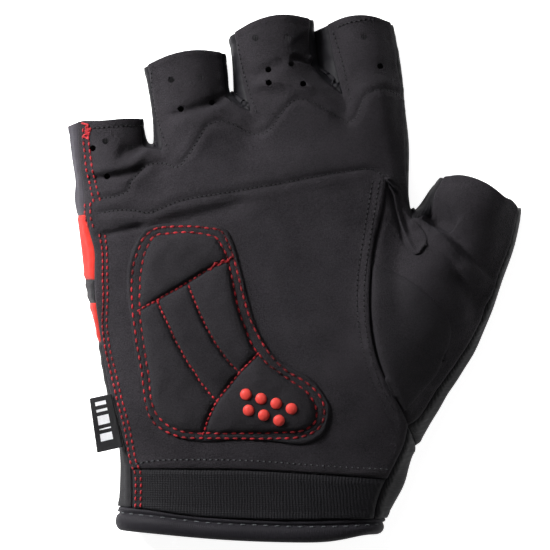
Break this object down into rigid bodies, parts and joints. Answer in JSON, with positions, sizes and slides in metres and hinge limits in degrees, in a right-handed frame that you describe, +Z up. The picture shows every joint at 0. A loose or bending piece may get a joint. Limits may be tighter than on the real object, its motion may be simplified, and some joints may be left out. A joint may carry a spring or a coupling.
{
  "type": "fingerless cycling glove",
  "caption": "Right-hand fingerless cycling glove, palm up, with padded suede palm, short finger tubes, thumb, elastic wrist and rubber dots.",
  "frame": {"origin": "middle of the bounding box's base, on the surface that the glove's back lies on", "axes": "+Y towards the fingertips, +X towards the thumb, +Z up out of the palm"},
  "size_m": [0.1332, 0.1542, 0.0299],
  "materials": {
    "suede": "brushed synthetic suede, near black",
    "pad_suede": "fine synthetic suede over foam, near black",
    "red_rubber": "raised soft rubber, salmon red",
    "elastic": "finely ribbed elastic knit, black",
    "black_stretch": "stretch knit, black",
    "red_stretch": "stretch knit, orange red",
    "grey_stretch": "stretch knit, dark grey",
    "black_satin": "smooth satin stretch, black",
    "woven_label": "woven tab, black with plain white bars"
  },
  "bodies": {
    "root": {"palm_panel": "suede", "finger_panel": "suede", "thumb_panel": "suede", "crotch_tongue": "suede", "pad_base": "pad_suede", "thumb_patch": "pad_suede", "cell_top": "pad_suede", "cell_outer": "pad_suede", "cell_middle": "pad_suede", "cell_inner": "pad_suede", "cell_heel": "pad_suede", "grip_dot_1": "red_rubber", "grip_dot_2": "red_rubber", "grip_dot_3": "red_rubber", "grip_dot_4": "red_rubber", "grip_dot_5": "red_rubber", "grip_dot_6": "red_rubber", "grip_dot_7": "red_rubber", "cuff_elastic": "elastic", "hem_binding": "elastic", "side_lower": "black_stretch", "side_middle": "black_stretch", "side_block_lower": "red_stretch", "side_block_upper": "red_stretch", "side_little_finger": "grey_stretch", "fourchette_little_ring": "black_satin", "fourchette_ring_middle": "black_satin", "fourchette_middle_index": "black_satin", "fourchette_index_thumb": "black_stretch", "cuff_side": "black_stretch", "back_panel": "black_stretch", "thumb_back": "black_stretch", "wrist_tab": "pad_suede", "label_tab": "woven_label"}
  },
  "joints": []
}
